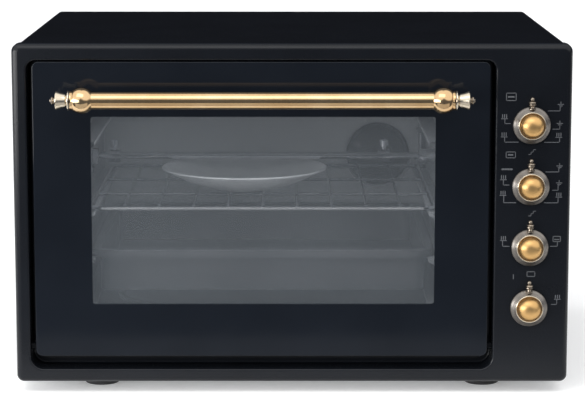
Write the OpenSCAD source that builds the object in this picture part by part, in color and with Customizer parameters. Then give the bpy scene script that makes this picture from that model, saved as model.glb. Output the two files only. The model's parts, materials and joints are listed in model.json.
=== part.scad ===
// Countertop rotisserie oven with a drop-down glass door and four front controls.
// X runs left to right, Y from the front to the back, Z up.
// The origin is on the ground, under the middle of the whole object.
// Inside the modules Y = 0 is the face of the front frame; placed() moves it to its place.

/* [Cabinet] */
// Width over the front frame
body_w = 600; // [560:1:640]
// Height from the ground to the top of the front frame
body_h = 382; // [376:1:400]
// Depth from the face of the front frame to the back edge of the casing
body_d = 470; // [460:1:500]
// Height of the feet
foot_h = 12; // [8:1:16]
// Radius of a foot
foot_r = 20; // [14:1:24]
// Thickness of the sheet metal
sheet = 0.8; // [0.6:0.1:1.2]
// Depth of the rolled rim around the front frame
rim_d = 16; // [12:1:20]
// Corner radius at the top of the front frame
rim_r_top = 9.5; // [8:0.5:12]
// Corner radius at the bottom of the front frame
rim_r_low = 8; // [7.5:0.5:12]
// Rounding of the rim's front edge
rim_edge = 7; // [4:0.5:7]
// How far the casing sits inside the rim
casing_inset = 2; // [1.5:0.5:3]
// Bend radius of the casing's top edges
casing_r = 7.5; // [6:0.5:10]

/* [Door] */
// Width of the door
door_w = 490; // [470:1:492]
// Height of the door
door_h = 321; // [312:1:324]
// Centre of the door, left of the oven's centre
door_left = 33; // [30:1:36]
// Height of the door's lower edge above the ground
door_z = 41.5; // [40:0.5:44]
// Thickness of the door
door_t = 28; // [26:1:29]
// Thickness of the glass panes
glass_t = 4; // [3:0.5:5]
// Clearance at each side of the door
door_gap = 6; // [4:0.5:7]
// Depth of the black gap under the door
door_gap_low = 14.5; // [12:0.5:16]
// Clearance above the door
door_gap_top = 1.4; // [1:0.1:2]
// Radius of the hinge pins
pin_r = 3; // [2.5:0.1:3.5]
// Height of the hinge axis above the door's lower edge
hinge_up = 8.5; // [8:0.5:10]
// Middle radius of the curved door arms
arm_r = 60; // [56:1:64]

/* [Handle] */
// Diameter of the handle bar
bar_d = 18.5; // [16:0.5:20]
// Distance from the glass to the bar's axis
bar_out = 45; // [40:1:50]
// Height of the bar's axis above the ground
bar_z = 326.2; // [320:0.1:330]
// Left end of the bar
bar_x0 = -211.6; // [-220:0.1:-200]
// Right end of the bar
bar_x1 = 149.4; // [140:0.1:160]
// Diameter of the turned beads at the ends of the bar
bead_d = 28; // [24:0.5:30]

/* [Controls] */
// Distance of the knobs from the oven's centre
knob_x = 256.5; // [254:0.5:260]
// Height of the lowest knob
knob_z = 95.5; // [90:0.5:100]
// Distance from one knob to the next
knob_pitch = 66.4; // [60:0.1:68]
// Radius of a knob's skirt
knob_r = 20.2; // [18:0.1:22]
// Radius of a knob's domed cap
cap_r = 12.5; // [11:0.1:13]
// Radius of the control shafts
shaft_r = 3; // [2.5:0.1:3.5]

/* [Cooking space] */
// Inside width of the cooking space
cavity_w = 400; // [396:1:404]
// Inside height of the cooking space
cavity_h = 276; // [270:1:280]
// Inside depth of the cooking space
cavity_d = 360; // [355:1:370]
// Height of its floor above the ground
cavity_z = 62; // [60:1:64]
// Upper faces of the shelf ledges, above the ground
ledge_levels = [90, 142, 193.7, 270];
// How far the ledges stand out of the side walls
ledge_w = 17; // [16.5:0.5:18]
// Width of the wire rack, between the middles of its side rails
rack_w = 377; // [374:0.5:380]
// Depth of the wire rack
rack_d = 330; // [300:1:332]
// Diameter of the rack's frame wire
rack_wire = 5; // [4:0.5:5]
// Number of wires along the rack
rack_n = 9; // [7:2:11]
// Distance between the wires along the rack
rack_pitch = 38; // [30:1:40]
// Height of the baking tray
tray_h = 46; // [40:1:48]
// Rim radius of the round dish
dish_r = 94.2; // [85:0.1:98]
// Base radius of the round dish
dish_base_r = 18; // [12:0.5:30]
// Height of the round dish
dish_h = 26; // [18:0.5:26]
// Diameter of the heating elements
element_d = 6.6; // [6:0.1:8]

/* [Rotisserie] */
// Height of the spit's axis above the ground
spit_z = 233; // [232:0.5:236]
// Distance of the spit's axis behind the front face
spit_y = 205; // [200:1:210]
// Radius of the spit
spit_r = 4; // [3.5:0.1:4]
// Distance of the fork tines from the spit's axis
tine_out = 14; // [12:0.5:16]
// Length of the fork tines
tine_l = 44; // [36:1:45]

/* [Hidden] */
$fn = 48;

// Colours
black = [0.07, 0.075, 0.09];
gold = [0.85, 0.62, 0.3];
pewter = [0.42, 0.4, 0.38];
steel = [0.72, 0.73, 0.75];
dark_steel = [0.3, 0.31, 0.33];

// Cabinet
half_w = body_w / 2;
casing_w = half_w - casing_inset;
casing_top = body_h - casing_inset;
floor_z = foot_h + sheet;
screw_head = 2;
y_mid = (body_d - sheet + screw_head - bar_out - bead_d / 2) / 2;
back_y = body_d - 2 * sheet;
flange_w = 12;
screw_hole_r = 1.8;
side_vent = [50, 4];
side_vent_step = [70, 14];
back_vent_h = 5;
back_vent_step = 12;
foot_lip = 3;
cut = 1;

// Door and its recess
door_x0 = -door_left - door_w / 2;
door_x1 = door_x0 + door_w;
door_top = door_z + door_h;
recess_x0 = door_x0 - door_gap;
recess_x1 = door_x1 + door_gap;
recess_z0 = door_z - door_gap_low;
recess_z1 = door_top + door_gap_top;
recess_d = door_t + 3;
hinge_y = door_t / 2;
hinge_z = door_z + hinge_up;
running = 0.06;
arm_t = 3;
arm_w = 12;
arm_offset = 229;
arm_x = [for (s = [-1, 1]) -door_left + s * arm_offset];
arm_tail = -14;
arm_slot_w = 10;
arm_slot_z = [hinge_z + 47, hinge_z + 68];
frame_wall = 1.2;
window_w = 390;
window_h = 224;
window_z = 201;
frame_in = 2;
post_out = 8.8;
post_xs = [bar_x0 - post_out, bar_x1 + post_out];
post_r = 6;
gasket_in = 1;
gasket_w = 4;

// Cooking space
mouth_x0 = -door_left - cavity_w / 2;
mouth_x1 = mouth_x0 + cavity_w;
cavity_top = cavity_z + cavity_h;
liner_y = recess_d + sheet;
cavity_back = liner_y + cavity_d;
cavity_r = 12;
divider_x = 212;
spit_hole_r = 6;
element_hole_r = 5;
capillary_hole_r = 4;
lamp = [107.5, 208.5];
lamp_r = 42;
lamp_depth = 8;
socket_hole_r = 19;
lamp_back = cavity_back + lamp_depth + sheet;
lamp_seat = cavity_back + 34;
ledge_y0 = 40;
ledge_y1 = 372;
ledge_h = 13;
ledge_nose = 4;
rivet_ys = [for (s = [-1, 1]) spit_y + s * 10];
rivet_z = spit_z - 14;
rivet_r = 1.5;

// Rack, tray and dish
rack_y = 45;
rack_z = ledge_levels[2] + 0.3 + rack_wire / 2;
rack_x = -32.5;
rod_r = 1.6;
rod_up = 1;
tray_y = 42;
tray_rim = 8.2;
tray_top = ledge_levels[1] + 0.3 + tray_rim;
tray_lip = 10;
tray_r = 22;
dish = [-54.5, 166];
dish_z = rack_z + rod_up + rod_r + 0.05;

// Heating elements
element_r = element_d / 2;
upper_z = 325;
lower_z = 73;
upper_runs = [95, 165, 235, 305];
lower_runs = [100, 300];
element_x0 = -200;
cold_end = 22;
collar_r = 6;
collar_t = 2;
terminal_r = 1.6;
strap_t = 3;

// Rotisserie
journal_r = 3;
drive_x = mouth_x1 - 19;
square_w = 5.4;
fork_hub_r = 7.5;
fork_hub_l = 14;
fork_x = [-206, 107];

// Controls
knob_zs = [for (i = [3:-1:0]) knob_z + i * knob_pitch];
pointer_up = 9.5;
skirt_d = 9;
knob_clear = 1.5;

// Puts the front face at its place along Y
module placed() { translate([0, -y_mid, 0]) children(); }

// Flat outline with round corners, one radius for the upper pair and one for the lower pair
module outline(x0, x1, z0, z1, r_top, r_low) {
    r = max(r_top, r_low);
    translate([x0 + r_low, z0]) square([x1 - x0 - 2 * r_low, r]);
    translate([x0 + r_top, z1 - r]) square([x1 - x0 - 2 * r_top, r]);
    translate([x0, z0 + r_low]) square([x1 - x0, z1 - z0 - r_low - r_top]);
    for (x = [x0 + r_low, x1 - r_low]) translate([x, z0 + r_low]) circle(r_low);
    for (x = [x0 + r_top, x1 - r_top]) translate([x, z1 - r_top]) circle(r_top);
}

// Upright slab from y0 to y1 with round corners
module slab(x0, x1, z0, z1, y0, y1, r_top, r_low) {
    translate([0, y1, 0]) rotate([90, 0, 0]) linear_extrude(y1 - y0)
        outline(x0, x1, z0, z1, r_top, r_low);
}

// Cylinders along Y and along X
module rod_y(x, z, y0, y1, r) {
    translate([x, y1, z]) rotate([90, 0, 0]) cylinder(h = y1 - y0, r = r);
}
module rod_x(x0, x1, y, z, r) {
    translate([x0, y, z]) rotate([0, 90, 0]) cylinder(h = x1 - x0, r = r);
}

// Block between two corners
module block(low, high) { translate(low) cube(high - low); }

// Body turned about an axis along X, from a list of [distance, radius]
module turned_x(points) {
    ends = [[points[0][0], 0], [points[len(points) - 1][0], 0]];
    rotate([0, 90, 0]) rotate_extrude()
        polygon([for (p = concat([ends[0]], points, [ends[1]])) [p[1], p[0]]]);
}

// Body turned about an axis along -Y, from a list of [distance, radius]
module turned_front(points) {
    ends = [[points[0][0], 0], [points[len(points) - 1][0], 0]];
    rotate([90, 0, 0]) rotate_extrude()
        polygon([for (p = concat([ends[0]], points, [ends[1]])) [p[1], p[0]]]);
}

// Quarter bend of a wire in the XY plane, turning from angle a onwards
module bend(x, y, z, bend_r, wire_r, a, sweep = 90) {
    translate([x, y, z]) rotate([0, 0, a]) rotate_extrude(angle = sweep)
        translate([bend_r, 0]) circle(wire_r);
}

// Corner of the front rim, rounded towards the front
module rim_corner(x, z, r, edge, y0) {
    arc = [for (a = [0:15:90]) [r - edge + edge * sin(a), edge - edge * cos(a)]];
    translate([x, y0, z]) rotate([-90, 0, 0]) rotate_extrude($fn = 32)
        polygon(concat([[0, 0]], arc, [[r, rim_d], [0, rim_d]]));
}

// Solid block behind the front rim, inset by a distance on every side
module rim_block(inset) {
    hull() for (s = [-1, 1]) {
        rim_corner(s * (half_w - rim_r_top), body_h - rim_r_top, rim_r_top - inset,
            rim_edge - inset, inset);
        rim_corner(s * (half_w - rim_r_low), foot_h + rim_r_low, rim_r_low - inset,
            rim_edge - inset, inset);
    }
}

// Slots in the recess floor that the door arms pass through
module arm_slots() {
    for (x = arm_x) block([x - arm_slot_w / 2, recess_d - cut, arm_slot_z[0]],
        [x + arm_slot_w / 2, liner_y + 2 * cut, arm_slot_z[1]]);
}

module front_frame() {
    color(black) placed() difference() {
        union() {
            difference() {
                rim_block(0);
                rim_block(sheet);
            }
            slab(recess_x0 - sheet, recess_x1 + sheet, recess_z0 - sheet, recess_z1 + sheet,
                sheet / 2, liner_y, 11, 15);
        }
        slab(recess_x0, recess_x1, recess_z0, recess_z1, -1, recess_d, 10, 14);
        around_mouth(0, recess_d - 1, liner_y + 1);
        arm_slots();
        for (z = knob_zs) rod_y(knob_x, z, -1, sheet + 1, shaft_r + 1);
    }
}

// Outline of the casing, inset by a distance, with its lower edge at a height
module casing_section(inset, low = floor_z) {
    w = casing_w - inset;
    top = casing_top - inset;
    r = casing_r - inset;
    translate([-w, low]) square([2 * w, top - low - r]);
    translate([-w + r, low]) square([2 * (w - r), top - low]);
    for (s = [-1, 1]) translate([s * (w - r), top - r]) circle(r);
}

module extrude_y(y0, y1) {
    translate([0, y1, 0]) rotate([90, 0, 0]) linear_extrude(y1 - y0) children();
}

// Where the back panel is screwed on: [x, z]
screw_sides = [for (s = [-1, 1]) for (z = [70, 200, 330]) [s * (casing_w - 7), z]];
screw_spots = concat(screw_sides, [for (s = [-1, 1]) [s * 150, casing_top - 7]]);

module casing() {
    color(black) placed() difference() {
        union() {
            difference() {
                extrude_y(rim_edge, body_d) casing_section(0);
                extrude_y(rim_edge - 1, body_d + 1) casing_section(sheet, floor_z - 1);
            }
            extrude_y(back_y - sheet, back_y) difference() {
                casing_section(sheet / 2);
                translate([-casing_w + flange_w, floor_z - 1])
                    square([2 * (casing_w - flange_w), casing_top - flange_w - floor_z + 1]);
            }
        }
        block([-half_w, rim_edge - 1, floor_z - 1], [half_w, rim_d + 0.5, floor_z + 5]);
        for (p = screw_spots) rod_y(p[0], p[1], back_y - 3 * cut, back_y + cut, screw_hole_r);
        for (i = [0:9], j = [0:1])
            translate([casing_w - 3 * cut, 300 + j * side_vent_step[0], 150 + i * side_vent_step[1]])
                cube([4 * cut, side_vent[0], side_vent[1]]);
    }
}

module vent_rows(x, z, w, rows) {
    for (i = [0:rows - 1]) translate([x, back_y - cut, z + back_vent_step * i])
        cube([w, 3 * cut, back_vent_h]);
}

gland = [250, 62];
gland_r = 8;

module back_panel() {
    color(dark_steel) placed() difference() {
        extrude_y(back_y, back_y + sheet) casing_section(sheet);
        for (p = screw_spots) rod_y(p[0], p[1], back_y - cut, back_y + 2 * cut, screw_hole_r);
        rod_y(gland[0], gland[1], back_y - cut, back_y + 2 * cut, gland_r);
        for (x = [-240, -150, 90]) vent_rows(x, 290, 60, 5);
        vent_rows(225, 130, 50, 14);
    }
}

module bottom_plate() {
    color(dark_steel) placed() difference() {
        block([-casing_w + sheet, rim_d, floor_z], [casing_w - sheet, back_y - sheet, floor_z + sheet]);
        for (i = [0:4], j = [0:4]) translate([227 + 11 * i, 120 + 60 * j, floor_z - 1])
            cylinder(h = 3, r = 3);
    }
}

foot_x = 211;
foot_ys = [56, body_d - 60];

module feet() {
    color([0.09, 0.09, 0.1]) placed() for (s = [-1, 1], y = foot_ys) translate([s * foot_x, y, 0]) {
        cylinder(h = foot_lip, r1 = foot_r - foot_lip / 2, r2 = foot_r);
        translate([0, 0, foot_lip]) cylinder(h = foot_h + sheet - foot_lip, r1 = foot_r, r2 = foot_r - 2);
    }
}

// One pressed ledge on the left wall, with its upper face at z
module ledge(z) {
    extrude_y(ledge_y0, ledge_y1) polygon([
        [mouth_x0 - sheet / 2, z - ledge_h], [mouth_x0, z - ledge_h], [mouth_x0 + ledge_w, z - ledge_nose],
        [mouth_x0 + ledge_w, z], [mouth_x0 - sheet / 2, z]]);
}

// Hollow behind a ledge, open to the outside of the liner
module ledge_hollow(z) {
    wall = sheet + 0.2;
    slope = (ledge_h - ledge_nose) / ledge_w;
    extrude_y(ledge_y0 + wall, ledge_y1 - wall) polygon([
        [mouth_x0 - 2, z - ledge_h + wall - 2 * slope],
        [mouth_x0 + ledge_w - wall, z - ledge_nose + wall - wall * slope],
        [mouth_x0 + ledge_w - wall, z - wall], [mouth_x0 - 2, z - wall]]);
}

// Repeats something from the left wall on the right wall, as a mirror image
module both_walls() {
    children();
    translate([-2 * door_left, 0, 0]) mirror([1, 0, 0]) children();
}

module oven_liner() {
    color([0.45, 0.46, 0.48]) placed() difference() {
        union() {
            difference() {
                union() {
                    around_mouth(sheet, liner_y, cavity_back + sheet);
                    around_mouth(flange_w, liner_y, liner_y + sheet);
                    rod_y(lamp[0], lamp[1], cavity_back, cavity_back + lamp_depth + sheet, lamp_r + sheet);
                }
                around_mouth(0, liner_y - 1, cavity_back);
                rod_y(lamp[0], lamp[1], cavity_back - 1, cavity_back + lamp_depth, lamp_r);
            }
            for (z = ledge_levels) both_walls() ledge(z);
        }
        for (z = ledge_levels) both_walls() ledge_hollow(z);
        rod_y(lamp[0], lamp[1], cavity_back, cavity_back + 20, socket_hole_r);
        for (y = [upper_runs[0], upper_runs[3]])
            rod_x(mouth_x1 - 1, mouth_x1 + 3, y, upper_z, element_r + 1);
        for (y = lower_runs) rod_x(mouth_x1 - 1, mouth_x1 + 3, y, lower_z, element_r + 1);
        rod_x(mouth_x1 - 1, mouth_x1 + 3, spit_y, spit_z, spit_hole_r);
        rod_x(mouth_x1 - 1, mouth_x1 + 3, bulb[1], capillary_z, capillary_hole_r - 1);
        for (y = rivet_ys) rod_x(mouth_x0 - 3, mouth_x0 + 1, y, rivet_z, rivet_r);
    }
}

module divider_plate() {
    color(dark_steel) placed() difference() {
        block([divider_x, liner_y, floor_z + sheet], [divider_x + sheet, back_y - sheet, casing_top - 3]);
        rod_x(divider_x - cut, divider_x + 2 * cut, spit_y, spit_z, spit_hole_r);
        rod_x(divider_x - cut, divider_x + 2 * cut, bulb[1], capillary_z, capillary_hole_r);
        for (y = [upper_runs[0], upper_runs[3]])
            rod_x(divider_x - cut, divider_x + 2 * cut, y, upper_z, element_hole_r);
        for (y = lower_runs) rod_x(divider_x - cut, divider_x + 2 * cut, y, lower_z, element_hole_r);
    }
}

// Tube that runs to and fro along X, with half-round turns between its runs
module element(runs, z) {
    last = len(runs) - 1;
    turn_r = (runs[1] - runs[0]) / 2;
    x_turn = element_x0 + turn_r;
    x_back = mouth_x1 - 20 - turn_r;
    for (i = [0:last]) {
        x1 = i == 0 || i == last ? mouth_x1 + cold_end : x_back;
        rod_x(x_turn, x1, runs[i], z, element_r);
    }
    for (i = [0:last - 1]) {
        y = (runs[i] + runs[i + 1]) / 2;
        if (i % 2 == 0) bend(x_turn, y, z, turn_r, element_r, 90, 180);
        else bend(x_back, y, z, turn_r, element_r, -90, 180);
    }
    for (y = [runs[0], runs[last]]) {
        rod_x(mouth_x1 + sheet, mouth_x1 + sheet + collar_t, y, z, collar_r);
        rod_x(mouth_x1 + cold_end - 1, mouth_x1 + cold_end + 10, y, z, terminal_r);
    }
}

module upper_element() { color(dark_steel) placed() element(upper_runs, upper_z); }

module lower_element() { color(dark_steel) placed() element(lower_runs, lower_z); }

// Strap that holds the element's runs to the ceiling or the floor of the cooking space
module element_strap(x, y0, y1, z0, z1, runs, z) {
    difference() {
        block([x - strap_t / 2, y0, z0], [x + strap_t / 2, y1, z1]);
        for (y = runs) rod_x(x - strap_t, x + strap_t, y, z, element_r + 0.1);
    }
}

module element_clips() {
    color(steel) placed() {
        element_strap(-120, 85, 315, upper_z - 6, cavity_top, upper_runs, upper_z);
        element_strap(-60, 92, 108, cavity_z, lower_z + 5, lower_runs, lower_z);
        element_strap(-60, 292, 308, cavity_z, lower_z + 5, lower_runs, lower_z);
    }
}

// Interior lamp
module lamp_glass() {
    color([0.85, 0.87, 0.9, 0.5]) placed() translate([lamp[0], cavity_back + lamp_depth, lamp[1]])
        difference() {
            turned_front([[0, 37], [1.5, 39], [4, 39], [9, 33], [13, 20], [15, 4]]);
            translate([0, 1, 0]) turned_front([[0, 34], [5, 34], [9, 28], [12, 18], [14, 6]]);
        }
}

module lamp_socket() {
    color([0.85, 0.82, 0.76]) placed() difference() {
        union() {
            rod_y(lamp[0], lamp[1], lamp_back, cavity_back + 42, 16);
            rod_y(lamp[0], lamp[1], lamp_back, lamp_back + 2, 23);
        }
        rod_y(lamp[0], lamp[1], cavity_back + lamp_depth, lamp_seat, 8.5);
    }
}

module lamp_bulb() {
    color([0.9, 0.9, 0.88]) placed() translate([lamp[0], lamp_seat, lamp[1]])
        turned_front([[0, 6.8], [21, 6.8], [23, 7.6], [29, 9.2], [33, 8.6], [36, 5], [37, 1]]);
}

// Thermostat: sensing bulb, its thin tube and its clips
bulb = [160.5, 384];
bulb_z = [163, 262];
bulb_r = 3;
capillary_r = 1;
capillary_z = 285;
capillary_x = knob_x;
capillary_end_y = 44;
thermostat_top = 25.8;

module thermostat_bulb() {
    color([0.8, 0.78, 0.74]) placed() {
        translate([bulb[0], bulb[1], bulb_z[0]]) cylinder(h = bulb_z[1] - bulb_z[0], r = bulb_r);
        for (z = bulb_z) translate([bulb[0], bulb[1], z]) sphere(bulb_r);
    }
}

// Straight piece of the thin tube, with a round joint at its far end
module capillary_run(a, b) {
    d = b - a;
    length = norm(d);
    translate(a) rotate([0, acos(d[2] / length), atan2(d[1], d[0])]) cylinder(h = length, r = capillary_r);
    translate(b) sphere(capillary_r);
}

capillary_path = [
    [bulb[0], bulb[1], bulb_z[1] + bulb_r + 0.1],
    [bulb[0], bulb[1], capillary_z],
    [capillary_x, bulb[1], capillary_z],
    [capillary_x, capillary_end_y, capillary_z],
    [capillary_x, capillary_end_y, knob_zs[1] + thermostat_top + capillary_r + 0.1]];

module capillary_tube() {
    color([0.72, 0.45, 0.3]) placed()
        for (i = [0:len(capillary_path) - 2]) capillary_run(capillary_path[i], capillary_path[i + 1]);
}

module bulb_clips() {
    color(steel) placed() for (z = [200, 240]) difference() {
        block([bulb[0] - 5, bulb[1] - 4.5, z - 3], [bulb[0] + 5, cavity_back, z + 3]);
        translate([bulb[0], bulb[1], z - 4]) cylinder(h = 8, r = bulb_r + 0.05);
    }
}

// Blind hole for a control shaft in the front of a control
module shaft_hole(z) { rod_y(knob_x, z, 0, 14, shaft_r + running); }

// Spade terminals at the back of a control
module spades(z, y, columns, rows) {
    for (i = [0:columns - 1], j = [0:rows - 1])
        translate([knob_x - 6 * (columns - 1) + 12 * i - 3, y, z - 6 * (rows - 1) + 12 * j - 0.4])
            cube([6, 9, 0.8]);
}

module selector_switch() {
    z = knob_zs[0];
    color([0.8, 0.76, 0.66]) placed() {
        difference() {
            union() {
                block([knob_x - 20, sheet, z - 20], [knob_x + 20, sheet + 2, z + 20]);
                rod_y(knob_x, z, sheet + 2, 40, 19);
            }
            shaft_hole(z);
        }
        spades(z, 39, 3, 2);
    }
}

module thermostat() {
    z = knob_zs[1];
    color([0.7, 0.7, 0.72]) placed() {
        difference() {
            union() {
                block([knob_x - 22, sheet, z - 16], [knob_x + 22, sheet + 2, z + 16]);
                block([knob_x - 16, sheet + 2, z - 16], [knob_x + 16, 30, z + 16]);
                rod_y(knob_x, z, 29, 36, 14);
                block([knob_x - 4, 32, z + 10], [knob_x + 4, capillary_end_y + 4, z + thermostat_top]);
            }
            shaft_hole(z);
        }
        spades(z - 4, 29, 2, 1);
    }
}

module spit_switch() {
    z = knob_zs[2];
    color([0.78, 0.75, 0.68]) placed() {
        difference() {
            union() {
                block([knob_x - 20, sheet, z - 14], [knob_x + 20, sheet + 2, z + 14]);
                block([knob_x - 14, sheet + 2, z - 14], [knob_x + 14, 34, z + 14]);
            }
            shaft_hole(z);
        }
        spades(z, 33, 2, 2);
    }
}

module timer() {
    z = knob_zs[3];
    color([0.75, 0.76, 0.78]) placed() {
        difference() {
            union() {
                block([knob_x - 23, sheet, z - 23], [knob_x + 23, sheet + 2, z + 23]);
                rod_y(knob_x, z, sheet + 2, 28, 22);
                rod_y(knob_x, z, 27, 36, 9);
            }
            shaft_hole(z);
        }
        spades(z - 14, 27, 2, 1);
    }
}

// Rotisserie
module spit_cradle() {
    color(steel) placed() difference() {
        union() {
            block([mouth_x0, spit_y - 13, spit_z - 22], [mouth_x0 + 1.5, spit_y + 13, spit_z + 8]);
            block([mouth_x0 + 1, spit_y - 9, spit_z - 9], [mouth_x0 + 8, spit_y + 9, spit_z + 8]);
            for (y = rivet_ys) {
                rod_x(mouth_x0 - sheet - 1, mouth_x0 + 1, y, rivet_z, rivet_r - running);
                rod_x(mouth_x0 - sheet - 1, mouth_x0 - sheet, y, rivet_z, rivet_r + 1);
                rod_x(mouth_x0 + 1, mouth_x0 + 2.3, y, rivet_z, rivet_r + 1);
            }
        }
        rod_x(mouth_x0 + 1.5, mouth_x0 + 9, spit_y, spit_z, journal_r + running);
        block([mouth_x0 + 1.5, spit_y - journal_r - running, spit_z],
            [mouth_x0 + 9, spit_y + journal_r + running, spit_z + 9]);
    }
}

module spit_motor() {
    color([0.75, 0.76, 0.78]) placed() difference() {
        union() {
            rod_x(divider_x + 6, divider_x + 26, spit_y, spit_z, 25);
            rod_x(divider_x + 4, divider_x + 7, spit_y, spit_z, 10);
            block([divider_x + 12, spit_y - 9, spit_z - 34], [divider_x + 22, spit_y + 9, spit_z - 20]);
        }
        rod_x(divider_x, divider_x + 16, spit_y, spit_z, journal_r + running);
    }
}

module motor_bracket() {
    color(dark_steel) placed() difference() {
        union() {
            block([divider_x + sheet, spit_y - 40, spit_z - 12],
                [divider_x + sheet + 1.2, spit_y + 40, spit_z + 12]);
            for (s = [-1, 1])
                rod_x(divider_x + sheet + 1, divider_x + 6, spit_y + s * 20, spit_z, 3);
        }
        rod_x(divider_x, divider_x + 5, spit_y, spit_z, 11);
    }
}

module spit_rod() {
    color(steel) placed() {
        rod_x(mouth_x0 + 2.5, mouth_x0 + 11, spit_y, spit_z, journal_r);
        rod_x(mouth_x0 + 11, drive_x - 2, spit_y, spit_z, spit_r);
        translate([drive_x - 3, spit_y - square_w / 2, spit_z - square_w / 2])
            cube([16, square_w, square_w]);
    }
}

module drive_socket() {
    color(steel) placed() difference() {
        union() {
            rod_x(drive_x, mouth_x1 - 1, spit_y, spit_z, 8);
            rod_x(mouth_x1 - 2, divider_x + 15, spit_y, spit_z, journal_r);
        }
        translate([drive_x - 1, spit_y - square_w / 2 - 0.1, spit_z - square_w / 2 - 0.1])
            cube([15, square_w + 0.2, square_w + 0.2]);
    }
}

// Meat fork on the spit: its tines point along +X when side is 1, along -X when it is -1
module fork(x, side) {
    tip = x + side * tine_l;
    difference() {
        union() {
            rod_x(x - fork_hub_l / 2, x + fork_hub_l / 2, spit_y, spit_z, fork_hub_r);
            rod_y(x, spit_z, spit_y - tine_out, spit_y + tine_out, 2);
            for (s = [-1, 1]) translate([x, spit_y + s * tine_out, spit_z]) {
                sphere(2);
                rotate([0, side * 90, 0]) cylinder(h = tine_l - 8, r = 1.5);
                translate([side * (tine_l - 8), 0, 0]) rotate([0, side * 90, 0])
                    cylinder(h = 8, r1 = 1.5, r2 = 0.3);
            }
        }
        rod_x(x - fork_hub_l, x + fork_hub_l, spit_y, spit_z, spit_r + running);
        translate([x, spit_y, spit_z]) cylinder(h = 20, r = 2.05);
    }
}

module fork_screw(x) {
    translate([x, spit_y, spit_z + spit_r + 0.1]) {
        cylinder(h = 8, r = 2);
        translate([0, 0, 6]) cylinder(h = 2, r = 3.5);
        translate([0, 0, 8]) cylinder(h = 6, r = 5);
    }
}

module fork_left() { color(steel) placed() fork(fork_x[0], 1); }

module fork_right() { color(steel) placed() fork(fork_x[1], -1); }

module fork_left_screw() { color(steel) placed() fork_screw(fork_x[0]); }

module fork_right_screw() { color(steel) placed() fork_screw(fork_x[1]); }

// Rack, dish and tray
module wire_rack() {
    r = rack_wire / 2;
    c = 12;
    x0 = rack_x - rack_w / 2;
    x1 = rack_x + rack_w / 2;
    y1 = rack_y + rack_d;
    color(steel) placed() {
        for (y = [rack_y, y1]) rod_x(x0 + c, x1 - c, y, rack_z, r);
        for (x = [x0, x1]) rod_y(x, rack_z, rack_y + c, y1 - c, r);
        bend(x0 + c, rack_y + c, rack_z, c, r, 180);
        bend(x1 - c, rack_y + c, rack_z, c, r, 270);
        bend(x1 - c, y1 - c, rack_z, c, r, 0);
        bend(x0 + c, y1 - c, rack_z, c, r, 90);
        for (i = [0:rack_n - 1]) rod_y(rack_x + (i - (rack_n - 1) / 2) * rack_pitch, rack_z + rod_up,
            rack_y - 0.5, y1 + 0.5, rod_r);
        for (y = [rack_y + rack_d / 3, rack_y + 2 * rack_d / 3]) rod_x(x0, x1, y, rack_z - 1, rod_r);
    }
}

// Shallow bowl with a spherical wall on a small flat base
module round_dish() {
    wall = 1.2;
    rise = (dish_r * dish_r - dish_base_r * dish_base_r + dish_h * dish_h) / (2 * dish_h);
    ball_r = norm([dish_base_r, rise]);
    angles = [for (i = [0:8]) asin(dish_base_r / ball_r)
        + (asin(dish_r / ball_r) - asin(dish_base_r / ball_r)) * i / 8];
    outer = [for (a = angles) ball_r * [sin(a), -cos(a)] + [0, rise]];
    inner = [for (a = angles) (ball_r - wall) * [sin(a), -cos(a)] + [0, rise]];
    color([0.75, 0.75, 0.74]) placed() translate([dish[0], dish[1], dish_z]) rotate_extrude($fn = 96)
        polygon(concat([[0, 0]], outer, [for (i = [len(inner) - 1:-1:0]) inner[i]], [[0, wall]]));
}

// Plan of the tray, inset by a distance
module tray_plan(inset) {
    x0 = rack_x - rack_w / 2 - 1;
    x1 = rack_x + rack_w / 2 + 1;
    outline(x0 + inset, x1 - inset, tray_y + inset, tray_y + rack_d - inset,
        tray_r - inset, tray_r - inset);
}

module baking_tray() {
    color(dark_steel) placed() translate([0, 0, tray_top - tray_h]) difference() {
        union() {
            linear_extrude(tray_h) tray_plan(tray_lip);
            translate([0, 0, tray_h - tray_rim]) linear_extrude(tray_rim) tray_plan(0);
        }
        translate([0, 0, sheet]) linear_extrude(tray_h) tray_plan(tray_lip + sheet);
        translate([0, 0, tray_h - tray_rim - 1]) linear_extrude(tray_rim - sheet + 1) difference() {
            tray_plan(sheet);
            tray_plan(tray_lip);
        }
    }
}

// Small parts of the cabinet
module terminal_block() {
    color([0.85, 0.83, 0.78]) placed() difference() {
        block([225, back_y - 40, 95], [275, back_y - 18, 112]);
        for (i = [0:2]) translate([234 + 16 * i, back_y - 41, 103.5]) rotate([-90, 0, 0])
            cylinder(h = 24, r = 3);
    }
}

module cable_gland() {
    color([0.08, 0.08, 0.09]) placed() difference() {
        union() {
            rod_y(gland[0], gland[1], back_y - 12, back_y + sheet, gland_r - 0.1);
            rod_y(gland[0], gland[1], back_y - 12, back_y - 0.1, gland_r + 3);
            rod_y(gland[0], gland[1], back_y + sheet + 0.1, body_d, gland_r + 2);
            rod_y(gland[0], gland[1], back_y + sheet - 0.5, back_y + sheet + 0.5, gland_r - 0.1);
        }
        rod_y(gland[0], gland[1], back_y - 13, body_d + 1, 4);
    }
}

module back_screws() {
    color(steel) placed() for (p = screw_spots) {
        rod_y(p[0], p[1], back_y - 9, back_y + sheet + 0.5, 1.6);
        rod_y(p[0], p[1], back_y + sheet, back_y + sheet + screw_head, 3.6);
    }
}

// Slab as large as the mouth of the cooking space and a margin around it
module around_mouth(margin, y0, y1) {
    slab(mouth_x0 - margin, mouth_x1 + margin, cavity_z - margin, cavity_top + margin, y0, y1,
        cavity_r + margin, cavity_r + margin);
}

// Door
module door_gasket() {
    color([0.2, 0.2, 0.21]) placed() difference() {
        around_mouth(gasket_in + gasket_w, door_t + 0.4, recess_d);
        around_mouth(gasket_in, door_t, recess_d + 1);
    }
}

pin_reach = 22;

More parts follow.
